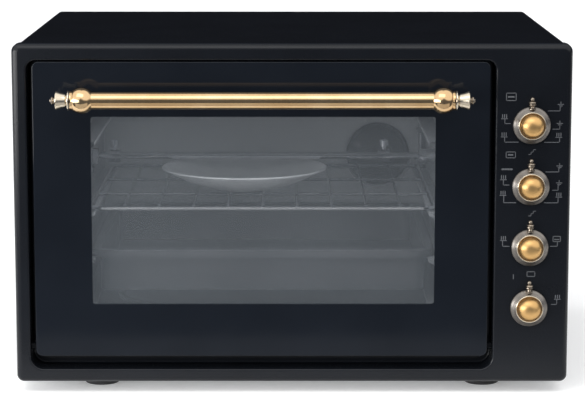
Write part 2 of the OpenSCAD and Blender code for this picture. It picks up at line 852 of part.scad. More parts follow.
module hinge_pins() {
    color(steel) placed() {
        rod_x(recess_x0, recess_x0 + pin_reach, hinge_y, hinge_z, pin_r);
        rod_x(recess_x1 - pin_reach, recess_x1, hinge_y, hinge_z, pin_r);
    }
}

// Coil of a hinge spring, as close turns around the pin
module coil(x0) {
    wire = 0.6;
    for (i = [0:4]) translate([x0 + wire + 1.15 * i, hinge_y, hinge_z]) rotate([0, 90, 0])
        rotate_extrude() translate([pin_r + wire + 0.3, 0]) circle(wire, $fn = 16);
}

module hinge_springs() {
    color(steel) placed() {
        coil(recess_x0 + 0.1);
        coil(recess_x1 - 0.1 - 5.8);
    }
}

module door_frame() {
    x0 = door_x0 + frame_in;
    x1 = door_x1 - frame_in;
    z0 = door_z + frame_in;
    z1 = door_top - frame_in;
    cx = -door_left;
    color(black) placed() difference() {
        slab(x0, x1, z0, z1, glass_t, door_t, 5, 5);
        slab(x0 + frame_wall, x1 - frame_wall, z0 + frame_wall, z1 - frame_wall, glass_t - 1,
            door_t - frame_wall, 4, 4);
        slab(cx - window_w / 2, cx + window_w / 2, window_z - window_h / 2, window_z + window_h / 2,
            door_t - 3, door_t + 1, 8, 8);
        rod_x(x0 - 1, x0 + 3, hinge_y, hinge_z, pin_r + running);
        rod_x(x1 - 3, x1 + 1, hinge_y, hinge_z, pin_r + running);
        for (x = post_xs) rod_y(x, bar_z, door_t - 3, door_t + 1, 5);
        for (x = arm_x) block([x - arm_t / 2 - 1, door_t - 3, hinge_z + arm_r - arm_w],
            [x + arm_t / 2 + 1, door_t + 1, hinge_z + arm_r + arm_w]);
    }
}

module door_glass() {
    color([0.1, 0.11, 0.13, 0.6]) placed() difference() {
        slab(door_x0, door_x1, door_z, door_top, 0, glass_t, 7, 7);
        for (x = post_xs) rod_y(x, bar_z, -1, glass_t + 1, 3);
    }
}

inner_margin = 7;

module door_inner_glass() {
    cx = -door_left;
    color([0.6, 0.65, 0.7, 0.5]) placed() slab(cx - window_w / 2 - inner_margin,
        cx + window_w / 2 + inner_margin, window_z - window_h / 2 - inner_margin,
        window_z + window_h / 2 + inner_margin, door_t - frame_wall - glass_t, door_t - frame_wall, 4, 4);
}

// Clips that hold the inner pane against the door frame
module glass_clips() {
    cx = -door_left;
    y1 = door_t - frame_wall;
    color(steel) placed() for (s = [-1, 1], z = [window_z - 70, window_z + 70]) {
        x_out = cx + s * (window_w / 2 + inner_margin + 10);
        x_in = cx + s * (window_w / 2 + inner_margin - 5);
        x_edge = cx + s * (window_w / 2 + inner_margin + 0.5);
        block([min(x_out, x_edge), y1 - glass_t - frame_wall, z - 8], [max(x_out, x_edge), y1, z + 8]);
        block([min(x_out, x_in), y1 - glass_t - frame_wall, z - 8], [max(x_out, x_in), y1 - glass_t, z + 8]);
    }
}

// Hinge leaf inside the door with its curved arm, which is concentric with the hinge
module door_arm(x, outer) {
    leaf = [x - 4, x + 4];
    difference() {
        union() {
            block([leaf[0], glass_t + 3, hinge_z - 5], [leaf[1], door_t - frame_wall, hinge_z + 75]);
            block([min(x, outer), hinge_y - 6, hinge_z - 4.2], [max(x, outer), hinge_y + 6, hinge_z + 6]);
            translate([x - arm_t / 2, hinge_y, hinge_z]) rotate([90, 0, 90]) rotate([0, 0, arm_tail])
                rotate_extrude(angle = 90 - arm_tail, $fn = 96)
                    translate([arm_r - arm_w / 2, 0]) square([arm_w, arm_t]);
        }
        rod_x(min(x, outer) - 8, max(x, outer) + 8, hinge_y, hinge_z, pin_r + running);
    }
}

module door_arms() {
    reach = door_w / 2 - frame_in - 2.7;
    color(steel) placed() {
        door_arm(arm_x[0], -door_left - reach);
        door_arm(arm_x[1], -door_left + reach);
    }
}

module handle_bar() {
    color(gold) placed() rod_x(bar_x0, bar_x1, -bar_out, bar_z, bar_d / 2);
}

// Turned end of the handle, from the bar outwards
end_profile = [
    [0, 10], [1.5, 12], [3.5, 13.4], [6, 14], [11, 14], [13.5, 13.2], [15.5, 12], [17.6, 10.4],
    [20, 10.4], [21.6, 8.6], [22.2, 8.6], [22.4, 10.5], [24.1, 10.5], [24.3, 6.4], [26.1, 6.6],
    [29, 7.2], [32, 8.4], [34.6, 10.2], [36.2, 10.2], [36.6, 8], [37.4, 4], [39.5, 4.2],
    [41.6, 3.6], [43, 2]];

module handle_end() {
    difference() {
        turned_x([for (p = end_profile) [p[0], p[1] * bead_d / 28]]);
        translate([8.8, 0, 0]) rotate([-90, 0, 0]) cylinder(h = 30, r = post_r - 1);
    }
}

module handle_ends() {
    color(gold) placed() {
        translate([bar_x1, -bar_out, bar_z]) handle_end();
        translate([bar_x0, -bar_out, bar_z]) mirror([1, 0, 0]) handle_end();
    }
}

module handle_posts() {
    color(gold) placed() for (x = post_xs) translate([x, 0, bar_z]) difference() {
        union() {
            rotate([90, 0, 0]) cylinder(h = bar_out - 1, r = post_r - 1.05);
            rotate([90, 0, 0]) cylinder(h = 3, r = post_r + 0.5);
        }
        translate([0, 1, 0]) rotate([90, 0, 0]) cylinder(h = 16, r = 2.1);
    }
}

module handle_screws() {
    color(steel) placed() for (x = post_xs) {
        rod_y(x, bar_z, -12, door_t - 8, 2);
        rod_y(x, bar_z, glass_t + 0.1, glass_t + 2, 7);
        rod_y(x, bar_z, door_t - 8, door_t - 5, 4.5);
    }
}

// Knobs
module knob_body(z) {
    color(pewter) placed() translate([knob_x, -knob_clear, z]) difference() {
        union() {
            turned_front([[0, knob_r - 1], [1, knob_r], [3, knob_r], [4.5, knob_r - 1.2],
                [skirt_d - 2, 16.2], [skirt_d, 15.8]]);
            translate([0, -5, knob_r - 4]) {
                cylinder(h = 8, r1 = 2.6, r2 = 2.2);
                translate([0, 0, 5]) cylinder(h = 2.4, r = 4.2);
                translate([0, 0, 4 + pointer_up - 3.4]) sphere(3.4);
            }
        }
        translate([0, 1, 0]) rotate([90, 0, 0]) cylinder(h = skirt_d + 2, r = shaft_r + 0.02);
    }
}

module knob_cap(z) {
    color(gold) placed() translate([knob_x, -knob_clear - skirt_d, z])
        turned_front([[0, 15.6], [1, 15.6], [2, 14.6], [2.4, 13.4], [2.4, cap_r], [4.4, cap_r - 0.3],
            [6.4, cap_r - 1.4], [8.4, cap_r - 3.6], [9.7, cap_r - 6.4], [10.3, cap_r - 9.6], [10.5, 1]]);
}

module knob_shaft(z) {
    color(steel) placed() rod_y(knob_x, z, -knob_clear - skirt_d, 12, shaft_r);
}

front_frame();
casing();
back_panel();
bottom_plate();
feet();
oven_liner();
divider_plate();
upper_element();
lower_element();
element_clips();
lamp_glass();
lamp_socket();
lamp_bulb();
thermostat_bulb();
capillary_tube();
bulb_clips();
selector_switch();
thermostat();
spit_switch();
timer();
spit_cradle();
spit_motor();
motor_bracket();
terminal_block();
cable_gland();
back_screws();
door_gasket();
hinge_pins();
hinge_springs();
door_frame();
door_glass();
door_inner_glass();
glass_clips();
door_arms();
handle_bar();
handle_ends();
handle_posts();
handle_screws();
spit_rod();
drive_socket();
fork_left();
fork_left_screw();
fork_right();
fork_right_screw();
wire_rack();
round_dish();
baking_tray();
knob_body(knob_zs[0]);  // knob_1_body
knob_cap(knob_zs[0]);  // knob_1_cap
knob_shaft(knob_zs[0]);  // knob_1_shaft
knob_body(knob_zs[1]);  // knob_2_body
knob_cap(knob_zs[1]);  // knob_2_cap
knob_shaft(knob_zs[1]);  // knob_2_shaft
knob_body(knob_zs[2]);  // knob_3_body
knob_cap(knob_zs[2]);  // knob_3_cap
knob_shaft(knob_zs[2]);  // knob_3_shaft
knob_body(knob_zs[3]);  // knob_4_body
knob_cap(knob_zs[3]);  // knob_4_cap
knob_shaft(knob_zs[3]);  // knob_4_shaft
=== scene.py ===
import json
import math

import bmesh
import bpy
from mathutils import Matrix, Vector


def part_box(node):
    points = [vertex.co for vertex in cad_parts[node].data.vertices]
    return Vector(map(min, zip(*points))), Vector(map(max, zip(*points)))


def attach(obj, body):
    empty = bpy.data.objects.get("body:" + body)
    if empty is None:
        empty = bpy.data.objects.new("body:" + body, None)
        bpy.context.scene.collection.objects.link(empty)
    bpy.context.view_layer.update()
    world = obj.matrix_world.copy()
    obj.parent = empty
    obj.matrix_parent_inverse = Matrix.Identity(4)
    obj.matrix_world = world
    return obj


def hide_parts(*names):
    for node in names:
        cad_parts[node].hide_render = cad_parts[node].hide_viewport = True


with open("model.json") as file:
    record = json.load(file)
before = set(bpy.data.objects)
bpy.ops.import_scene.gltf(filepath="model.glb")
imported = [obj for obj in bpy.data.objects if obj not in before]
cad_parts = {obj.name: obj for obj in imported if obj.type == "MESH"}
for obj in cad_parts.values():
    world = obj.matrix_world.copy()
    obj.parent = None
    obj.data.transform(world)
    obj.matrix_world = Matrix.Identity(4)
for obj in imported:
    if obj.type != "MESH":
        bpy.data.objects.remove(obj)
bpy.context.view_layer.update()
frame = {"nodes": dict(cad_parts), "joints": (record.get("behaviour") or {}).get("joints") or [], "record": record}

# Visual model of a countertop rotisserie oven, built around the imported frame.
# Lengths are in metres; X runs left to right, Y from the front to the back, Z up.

MM = 0.001
OUTWARDS = (0, -1, 0)


# ---------------------------------------------------------------- places taken from the frame

FRAME_LOW, FRAME_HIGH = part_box("front_frame")
FRONT = FRAME_LOW.y
GLASS_LOW, GLASS_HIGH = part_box("door_glass")
BAR_LOW, BAR_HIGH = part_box("handle_bar")
INNER_LOW, INNER_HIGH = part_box("door_inner_glass")
GASKET_LOW, GASKET_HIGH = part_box("door_gasket")
LINER_LOW, LINER_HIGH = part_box("oven_liner")
HINGE_Z = next(joint["pos_m"][2] for joint in frame["joints"] if joint["name"] == "door_hinge")
KNOBS = range(1, 5)


def middle(node):
    low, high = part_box(node)
    return (low + high) / 2


# ---------------------------------------------------------------- materials

def node_tree(name):
    """A new material with its shader and node tree."""
    material = bpy.data.materials.new(name)
    material.use_nodes = True
    tree = material.node_tree
    shader = tree.nodes["Principled BSDF"]
    return material, tree, shader


def set_values(shader, **values):
    """Sets uniform values straight on the shader's sockets, with _ for the spaces in their names."""
    for key, value in values.items():
        shader.inputs[key.replace("_", " ")].default_value = value


def coordinates(tree, stretch=(1, 1, 1)):
    """Object coordinates, stretched along the axes."""
    place = tree.nodes.new("ShaderNodeTexCoord")
    mapping = tree.nodes.new("ShaderNodeMapping")
    mapping.inputs["Scale"].default_value = stretch
    tree.links.new(place.outputs["Object"], mapping.inputs["Vector"])
    return mapping.outputs["Vector"]


def noise(tree, vector, scale, detail=4.0, roughness=0.55):
    texture = tree.nodes.new("ShaderNodeTexNoise")
    texture.inputs["Scale"].default_value = scale
    texture.inputs["Detail"].default_value = detail
    texture.inputs["Roughness"].default_value = roughness
    tree.links.new(vector, texture.inputs["Vector"])
    return texture.outputs["Fac"]


def spread(tree, value, low, high, start=0.3, end=0.7):
    """Maps a 0 to 1 value onto low to high."""
    mapped = tree.nodes.new("ShaderNodeMapRange")
    mapped.inputs["From Min"].default_value = start
    mapped.inputs["From Max"].default_value = end
    mapped.inputs["To Min"].default_value = low
    mapped.inputs["To Max"].default_value = high
    tree.links.new(value, mapped.inputs["Value"])
    return mapped.outputs["Result"]


def two_colours(tree, value, first, second, start=0.35, end=0.65):
    ramp = tree.nodes.new("ShaderNodeValToRGB")
    ramp.color_ramp.elements[0].position = start
    ramp.color_ramp.elements[0].color = (*first, 1)
    ramp.color_ramp.elements[1].position = end
    ramp.color_ramp.elements[1].color = (*second, 1)
    tree.links.new(value, ramp.inputs["Fac"])
    return ramp.outputs["Color"]


def bump(tree, shader, height, strength, distance):
    node = tree.nodes.new("ShaderNodeBump")
    node.inputs["Strength"].default_value = strength
    node.inputs["Distance"].default_value = distance
    tree.links.new(height, node.inputs["Height"])
    tree.links.new(node.outputs["Normal"], shader.inputs["Normal"])


def surface(name, first, second, rough, grain=220.0, stretch=(1, 1, 1), relief=0.1, depth=0.00004,
            mottle=14.0, **values):
    """A mottled surface: two close colours, a wandering roughness and a fine relief."""
    material, tree, shader = node_tree(name)
    set_values(shader, **values)
    vector = coordinates(tree, stretch)
    broad = noise(tree, vector, mottle)
    tree.links.new(two_colours(tree, broad, first, second), shader.inputs["Base Color"])
    fine = noise(tree, vector, grain, 3.0)
    tree.links.new(spread(tree, fine, *rough), shader.inputs["Roughness"])
    bump(tree, shader, fine, relief, depth)
    return material


def turned_metal(name, first, second, rough, axis, centre, rings=900.0, relief=0.15, **values):
    """Metal turned on a lathe: fine rings around an axis through centre."""
    material, tree, shader = node_tree(name)
    set_values(shader, **{"Metallic": 1.0, **values})
    place = tree.nodes.new("ShaderNodeTexCoord")
    mapping = tree.nodes.new("ShaderNodeMapping")
    mapping.inputs["Location"].default_value = [-c for c in centre]
    tree.links.new(place.outputs["Object"], mapping.inputs["Vector"])
    flat = tree.nodes.new("ShaderNodeVectorMath")
    flat.operation = "MULTIPLY"
    flat.inputs[1].default_value = [0.0 if a == axis else 1.0 for a in "XYZ"]
    tree.links.new(mapping.outputs["Vector"], flat.inputs[0])
    length = tree.nodes.new("ShaderNodeVectorMath")
    length.operation = "LENGTH"
    tree.links.new(flat.outputs["Vector"], length.inputs[0])
    streak = tree.nodes.new("ShaderNodeTexNoise")
    streak.noise_dimensions = "1D"
    streak.inputs["Scale"].default_value = rings
    streak.inputs["Detail"].default_value = 2.0
    tree.links.new(length.outputs["Value"], streak.inputs["W"])
    broad = noise(tree, mapping.outputs["Vector"], 60.0)
    tree.links.new(two_colours(tree, broad, first, second), shader.inputs["Base Color"])
    tree.links.new(spread(tree, streak.outputs["Fac"], *rough), shader.inputs["Roughness"])
    bump(tree, shader, streak.outputs["Fac"], relief, 0.00003)
    return material


def glass(name, colour, alpha, rough=0.03, **values):
    """Thin glass: light passes straight through, and the surface keeps a faint film."""
    material, tree, shader = node_tree(name)
    set_values(shader, Alpha=alpha, IOR=1.5, **values)
    vector = coordinates(tree)
    film = noise(tree, vector, 9.0)
    tree.links.new(two_colours(tree, film, colour, [c * 1.12 for c in colour]), shader.inputs["Base Color"])
    tree.links.new(spread(tree, noise(tree, vector, 30.0), rough, rough + 0.03), shader.inputs["Roughness"])
    return material


GOLD = (0.60, 0.425, 0.24)
GOLD_DEEP = (0.53, 0.35, 0.18)
KNOB_GOLD = (0.57, 0.35, 0.14)
CHAMPAGNE = (0.62, 0.54, 0.42)
ENAMEL = (0.0046, 0.0056, 0.0078)

MATERIALS = {
    "black_enamel": surface("black_enamel", ENAMEL, [c * 1.25 for c in ENAMEL], (0.2, 0.28), grain=900.0,
                            relief=0.12, depth=0.00003, Specular_IOR_Level=0.22),
    "galvanised_steel": surface("galvanised_steel", (0.40, 0.41, 0.42), (0.52, 0.53, 0.54), (0.35, 0.5),
                                mottle=70.0, Metallic=1.0),
    "dark_coating": surface("dark_coating", (0.035, 0.036, 0.04), (0.05, 0.05, 0.055), (0.35, 0.5),
                            grain=600.0),
    "oven_grey": surface("oven_grey", (0.20, 0.21, 0.225), (0.235, 0.245, 0.26), (0.3, 0.42), grain=500.0,
                         mottle=6.0),
    "bright_wire": surface("bright_wire", (0.74, 0.75, 0.77), (0.66, 0.67, 0.70), (0.12, 0.22), grain=400.0,
                           Metallic=1.0),
    "polished_gold": surface("polished_gold", GOLD, GOLD_DEEP, (0.13, 0.18), grain=300.0, mottle=25.0,
                             relief=0.04, Metallic=1.0),
    "antique_pewter": surface("antique_pewter", (0.30, 0.28, 0.27), (0.38, 0.36, 0.34), (0.28, 0.4),
                              Metallic=1.0),
    "black_rubber": surface("black_rubber", (0.02, 0.02, 0.021), (0.03, 0.03, 0.032), (0.6, 0.75),
                            grain=700.0, relief=0.3),
    "grey_silicone": surface("grey_silicone", (0.10, 0.10, 0.11), (0.14, 0.14, 0.15), (0.5, 0.65)),
    "door_glass": glass("door_glass_clear", (0.122, 0.139, 0.157), 0.2, Specular_IOR_Level=0.2),
    "clear_glass": glass("clear_glass", (0.35, 0.38, 0.40), 0.06),
    "ceramic": surface("ceramic", (0.70, 0.67, 0.60), (0.76, 0.73, 0.66), (0.15, 0.25), Coat_Weight=0.3),
    "plastic_cream": surface("plastic_cream", (0.58, 0.53, 0.43), (0.64, 0.59, 0.48), (0.4, 0.55)),
    "element_sheath": surface("element_sheath", (0.10, 0.095, 0.09), (0.17, 0.16, 0.15), (0.4, 0.55),
                              Metallic=0.7),
    "aluminium": surface("aluminium", (0.62, 0.63, 0.64), (0.70, 0.71, 0.72), (0.25, 0.38), Metallic=1.0),
    "copper": surface("copper", (0.62, 0.34, 0.22), (0.48, 0.27, 0.19), (0.3, 0.45), Metallic=1.0),
    "mark_grey": surface("mark_grey", (0.085, 0.09, 0.10), (0.115, 0.12, 0.13), (0.5, 0.6), grain=2000.0),
}
# Looks for pieces whose slot in the record covers more than one tone.
GLASS_BLACK = surface("glass_black", (0.0062, 0.0080, 0.0115), (0.0075, 0.0095, 0.0135), (0.05, 0.09),
                      grain=40.0, relief=0.0, Specular_IOR_Level=0.15)
SATIN_GOLD = surface("satin_gold", KNOB_GOLD, [c * 0.92 for c in KNOB_GOLD], (0.34, 0.41), mottle=60.0,
                     Metallic=1.0)
# The lamp cover's glass is darkened: painted shade, so that the lamp's recess looks shaded and shows no highlight.
LAMP_GLASS_PAINTED_SHADE = glass("lamp_glass_painted_shade", (0.03, 0.032, 0.034), 0.6)
BRONZE_METAL = surface("dark_bronze", (0.30, 0.26, 0.21), (0.24, 0.20, 0.16), (0.24, 0.34),
                       mottle=60.0, Metallic=1.0)
CHAMPAGNE_METAL = surface("champagne_metal", CHAMPAGNE, [c * 0.85 for c in CHAMPAGNE], (0.18, 0.26),
                          mottle=40.0, Metallic=1.0)


# ---------------------------------------------------------------- mesh helpers

def finish_mesh(mesh, angle=32.0):
    """Smooth shading, with edges sharper than angle kept crisp."""
    bm = bmesh.new()
    bm.from_mesh(mesh)
    bmesh.ops.recalc_face_normals(bm, faces=bm.faces)
    for face in bm.faces:
        face.smooth = True
    for edge in bm.edges:
        edge.smooth = len(edge.link_faces) == 2 and edge.calc_face_angle(0.0) < math.radians(angle)
    bm.to_mesh(mesh)
    bm.free()


def piece(name, mesh, material, body, angle=32.0):
    """An object for a mesh, with its material and the body it rides on."""
    finish_mesh(mesh, angle)
    obj = bpy.data.objects.new(name, mesh)
    bpy.context.scene.collection.objects.link(obj)
    for m in material if isinstance(material, (list, tuple)) else [material]:
        mesh.materials.append(m)
    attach(obj, body)
    return obj


def mesh_of(name, points, faces, material_index=None):
    mesh = bpy.data.meshes.new(name)
    mesh.from_pydata(points, [], faces)
    if material_index:
        mesh.polygons.foreach_set("material_index", material_index)
    return mesh


def join(name, parts):
    """One mesh from a list of (points, faces)."""
    points, faces = [], []
    for part_points, part_faces in parts:
        start = len(points)
        points += part_points
        faces += [[start + i for i in face] for face in part_faces]
    return mesh_of(name, points, faces)


def loft(rings, closed=False):
    """Quads between rings of equally many points, capped unless the rings close on themselves."""
    n = len(rings[0])
    points = [p for ring in rings for p in ring]
    faces = []
    last = len(rings) if closed else len(rings) - 1
    for i in range(last):
        a, b = i * n, (i + 1) % len(rings) * n
        faces += [[a + k, a + (k + 1) % n, b + (k + 1) % n, b + k] for k in range(n)]
    if not closed:
        faces += [list(range(n))[::-1], [(len(rings) - 1) * n + k for k in range(n)]]
    return points, faces


def lathe(profile, origin, along, segments=72):
    """Turns a profile of (distance, radius) about an axis through origin."""
    along = Vector(along).normalized()
    side = along.orthogonal().normalized()
    up = along.cross(side)
    rings = []
    for distance, radius in profile:
        centre = Vector(origin) + along * distance
        rings.append([centre + (side * math.cos(t) + up * math.sin(t)) * max(radius, 1e-5)
                      for t in (2 * math.pi * k / segments for k in range(segments))])
    return loft(rings)


def arc(centre, radius, start, end, steps):
    """Points (distance, radius) of an arc, angles in degrees from the distance axis."""
    out = []
    for k in range(steps + 1):
        a = math.radians(start + (end - start) * k / steps)
        out.append((centre[0] + radius * math.cos(a), centre[1] + radius * math.sin(a)))
    return out


def in_mm(profile):
    return [(d * MM, r * MM) for d, r in profile]


def rounded(x0, x1, z0, z1, r_top, r_low, y, steps=8):
    """A ring with round corners in the plane at y, starting at the lower right."""
    ring = []
    corners = ((x1 - r_low, z0 + r_low, r_low, -90), (x1 - r_top, z1 - r_top, r_top, 0),
               (x0 + r_top, z1 - r_top, r_top, 90), (x0 + r_low, z0 + r_low, r_low, 180))
    for x, z, r, start in corners:
        for k in range(steps + 1):
            a = math.radians(start + 90 * k / steps)
            ring.append(Vector((x + r * math.cos(a), y, z + r * math.sin(a))))
    return ring


def cuboid(low, high):
    (x0, y0, z0), (x1, y1, z1) = low, high
    points = [Vector((x, y, z)) for x in (x0, x1) for y in (y0, y1) for z in (z0, z1)]
    faces = [[0, 1, 3, 2], [4, 6, 7, 5], [0, 4, 5, 1], [2, 3, 7, 6], [0, 2, 6, 4], [1, 5, 7, 3]]
    return points, faces


def cut(mesh, cutters):
    """mesh minus the cutters, as a new mesh."""
    obj = bpy.data.objects.new("cut_target", mesh)
    tool = bpy.data.objects.new("cut_tool", join("cut_tool", cutters))
    finish_mesh(obj.data)
    finish_mesh(tool.data)
    for o in (obj, tool):
        bpy.context.scene.collection.objects.link(o)
    modifier = obj.modifiers.new("cut", "BOOLEAN")
    modifier.operation = "DIFFERENCE"
    modifier.solver = "EXACT"
    modifier.object = tool
    bpy.context.view_layer.update()
    graph = bpy.context.evaluated_depsgraph_get()
    result = bpy.data.meshes.new_from_object(obj.evaluated_get(graph))
    for o in (obj, tool):
        bpy.data.objects.remove(o)
    return result


# ---------------------------------------------------------------- front frame

SHEET = 0.8 * MM
KEEP = 0.3 * MM          # narrow strip beside a rounding, so that the flat next to it shades flat
RIM_DEPTH = 16 * MM
RIM_EDGE = 7 * MM
RIM_TOP_R, RIM_LOW_R = 9.5 * MM, 8 * MM
GAP_SIDE, GAP_LOW, GAP_TOP = 6 * MM, 14.5 * MM, 1.4 * MM
LIP = 2.2 * MM
RECESS_TOP_R, RECESS_LOW_R = 10 * MM, 14 * MM
RECESS_DEPTH = FRAME_HIGH.y - FRONT - SHEET
RECESS_FILLET = 2 * MM
MOUTH_MARGIN = 5 * MM
MOUTH_R = 12 * MM
ARM_REACH = 229 * MM     # from the door's middle to each arm
ARM_SLOT_HALF = Vector((5 * MM, 5 * MM, 0))
ARM_SLOT_LOW, ARM_SLOT_HIGH = HINGE_Z + 47 * MM, HINGE_Z + 68 * MM


def rim_ring(inset, depth):
    return rounded(FRAME_LOW.x + inset, FRAME_HIGH.x - inset, FRAME_LOW.z + inset, FRAME_HIGH.z - inset,
                   max(RIM_TOP_R - inset, 1 * MM), max(RIM_LOW_R - inset, 1 * MM), FRONT + depth)


def recess_ring(out, depth):
    return rounded(GLASS_LOW.x - GAP_SIDE - out, GLASS_HIGH.x + GAP_SIDE + out,
                   GLASS_LOW.z - GAP_LOW - out, GLASS_HIGH.z + GAP_TOP + out,
                   RECESS_TOP_R + out, RECESS_LOW_R + out, FRONT + depth)


def mouth_ring(depth):
    m = MOUTH_MARGIN
    return rounded(GASKET_LOW.x + m, GASKET_HIGH.x - m, GASKET_LOW.z + m, GASKET_HIGH.z - m,
                   MOUTH_R, MOUTH_R, FRONT + depth)


def quarter(steps=8):
    """Pairs (1 - cos, 1 - sin) through a quarter turn."""
    for k in range(steps + 1):
        a = math.pi / 2 * k / steps
        yield 1 - math.cos(a), 1 - math.sin(a)


def make_front_frame():
    rings = [rim_ring(0, RIM_DEPTH), rim_ring(0, RIM_EDGE + KEEP)]
    rings += [rim_ring(RIM_EDGE * v, RIM_EDGE * u) for u, v in list(quarter())[::-1]]
    rings += [rim_ring(RIM_EDGE + KEEP, 0), recess_ring(LIP + KEEP, 0)]
    rings += [recess_ring(LIP * v, LIP * u) for u, v in quarter(6)]
    rings += [recess_ring(0, LIP + KEEP), recess_ring(0, RECESS_DEPTH - RECESS_FILLET - KEEP)]
    rings += [recess_ring(-RECESS_FILLET * u, RECESS_DEPTH - RECESS_FILLET * v) for u, v in quarter(4)]
    rings += [recess_ring(-RECESS_FILLET - KEEP, RECESS_DEPTH)]
    rings += [mouth_ring(RECESS_DEPTH), mouth_ring(RECESS_DEPTH + SHEET)]
    rings += [recess_ring(SHEET, RECESS_DEPTH + SHEET), recess_ring(SHEET, SHEET + LIP)]
    inner_edge = RIM_EDGE - SHEET
    rings += [rim_ring(RIM_EDGE + SHEET, SHEET)]
    rings += [rim_ring(SHEET + inner_edge * v, SHEET + inner_edge * u) for u, v in quarter()]
    rings += [rim_ring(SHEET, RIM_DEPTH)]
    slots = []
    for side in (-1, 1):
        x = (GLASS_LOW.x + GLASS_HIGH.x) / 2 + side * ARM_REACH
        slots.append(cuboid(Vector((x, FRONT + RECESS_DEPTH, ARM_SLOT_LOW)) - ARM_SLOT_HALF,
                            Vector((x, FRONT + RECESS_DEPTH, ARM_SLOT_HIGH)) + ARM_SLOT_HALF))
    mesh = cut(mesh_of("front_frame_pressing", *loft(rings, closed=True)), slots)
    obj = piece("front_frame_pressing", mesh, MATERIALS["black_enamel"], "cabinet")
    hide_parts("front_frame")


# ---------------------------------------------------------------- door

WINDOW_LOW = INNER_LOW + Vector((19, 0, 17)) * MM
WINDOW_HIGH = INNER_HIGH - Vector((15, 0, 16.5)) * MM
WINDOW_R = 3 * MM
GLASS_R = 7 * MM
GLASS_BEVEL = 0.9 * MM


def make_door_glass():
    """One pane: black print around a clear window, on both faces."""
    y0, y1 = GLASS_LOW.y, GLASS_HIGH.y

    def pane_ring(inset, y):
        return rounded(GLASS_LOW.x + inset, GLASS_HIGH.x - inset, GLASS_LOW.z + inset,
                       GLASS_HIGH.z - inset, GLASS_R - inset, GLASS_R - inset, y)

    def window_ring(y):
        return rounded(WINDOW_LOW.x, WINDOW_HIGH.x, WINDOW_LOW.z, WINDOW_HIGH.z, WINDOW_R, WINDOW_R, y)

    b = GLASS_BEVEL
    rings = [window_ring(y1), pane_ring(b + KEEP, y1)]
    rings += [pane_ring(b * v, y1 - b * u) for u, v in quarter(4)]
    rings += [pane_ring(b * u, y0 + b * v) for u, v in quarter(4)]
    rings += [pane_ring(b + KEEP, y0), window_ring(y0)]
    points, faces = loft(rings)
    index = [0] * (len(faces) - 2) + [1, 1]
    mesh = mesh_of("door_glass_pane", points, faces, index)
    obj = piece("door_glass_pane", mesh, [GLASS_BLACK, MATERIALS["door_glass"]], "door")
    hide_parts("door_glass")


BAR_R = (BAR_HIGH.z - BAR_LOW.z) / 2
BAR_Y = (BAR_LOW.y + BAR_HIGH.y) / 2
BAR_Z = (BAR_LOW.z + BAR_HIGH.z) / 2
BAR_TUCK = 1.0           # how far the bar's ends go into the beads, in millimetres
BAR_CHAMFER = 0.3
BEAD_R = 14.0
BEAD_MIDDLE = 9.5
BEAD_END = 18.4

BEAD_PROFILE = [(-1.5, 9.0)] + arc((BEAD_MIDDLE, 0), BEAD_R, 180 - 47.3, 50.5, 20) + [
    (BEAD_END + 0.3, 10.2), (19.6, 9.9), (20.4, 10.2), (21.4, 10.2), (21.8, 9.2), (22.2, 6.5)]
CUP_PROFILE = [(22.0, 7.5), (22.3, 10.2), (22.8, 10.6), (23.6, 10.6), (24.1, 10.2), (24.4, 6.9),
               (25.2, 6.3), (26.0, 6.6), (26.4, 7.3), (27.5, 7.5), (31.0, 8.3), (35.2, 9.9), (36.0, 10.1),
               (36.5, 9.8), (36.8, 9.0), (36.9, 5.2), (37.2, 4.0), (37.6, 3.2)]
TIP_PROFILE = [(37.3, 3.1), (38.4, 3.0), (38.9, 3.6), (39.8, 4.2), (40.8, 4.1), (41.4, 3.2), (41.7, 2.2),
               (42.4, 1.9), (42.9, 1.2), (43.0, 0.2)]


def make_handle():
    length, r = (BAR_HIGH.x - BAR_LOW.x) / MM, BAR_R / MM
    bar = [(-BAR_TUCK, r - BAR_CHAMFER), (BAR_CHAMFER - BAR_TUCK, r)]
    bar += [(length * k / 12, r) for k in range(13)]
    bar += [(length + BAR_TUCK - BAR_CHAMFER, r), (length + BAR_TUCK, r - BAR_CHAMFER)]
    points, faces = lathe(in_mm(bar), (BAR_LOW.x, BAR_Y, BAR_Z), (1, 0, 0), 96)
    obj = piece("handle_tube", mesh_of("handle_tube", points, faces), MATERIALS["polished_gold"],
                "door")
    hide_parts("handle_bar")
    for name, x, side in (("left", BAR_LOW.x, -1), ("right", BAR_HIGH.x, 1)):
        origin, along = (x, BAR_Y, BAR_Z), (side, 0, 0)
        bead = mesh_of("bead", *lathe(in_mm(BEAD_PROFILE), origin, along, 96))
        obj = piece(f"handle_bead_{name}", bead, MATERIALS["polished_gold"], "door")
        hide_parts("handle_ends")
        cup = mesh_of("cup", *lathe(in_mm(CUP_PROFILE), origin, along, 96))
        piece(f"handle_cup_{name}", cup, CHAMPAGNE_METAL, "door")
        tip = mesh_of("tip", *lathe(in_mm(TIP_PROFILE), origin, along, 64))
        piece(f"handle_tip_{name}", tip, BRONZE_METAL, "door")
    make_handle_posts()


POST_R = 6.5 * MM
POST_PROFILE = [(0, 6.3), (1.6, 6.5), (2.4, 6.3), (3.0, 5.5), (3.4, 5.0), (8, 4.9), (20, 4.7), (28, 4.9),
                (33, 4.9)]


def make_handle_posts():
    low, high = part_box("handle_posts")
    for name, x in (("left", low.x + POST_R), ("right", high.x - POST_R)):
        mesh = mesh_of("post", *lathe(in_mm(POST_PROFILE), (x, FRONT, BAR_Z), OUTWARDS, 64))
        obj = piece(f"handle_post_{name}", mesh, MATERIALS["polished_gold"], "door")
        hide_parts("handle_posts")


# ---------------------------------------------------------------- knobs

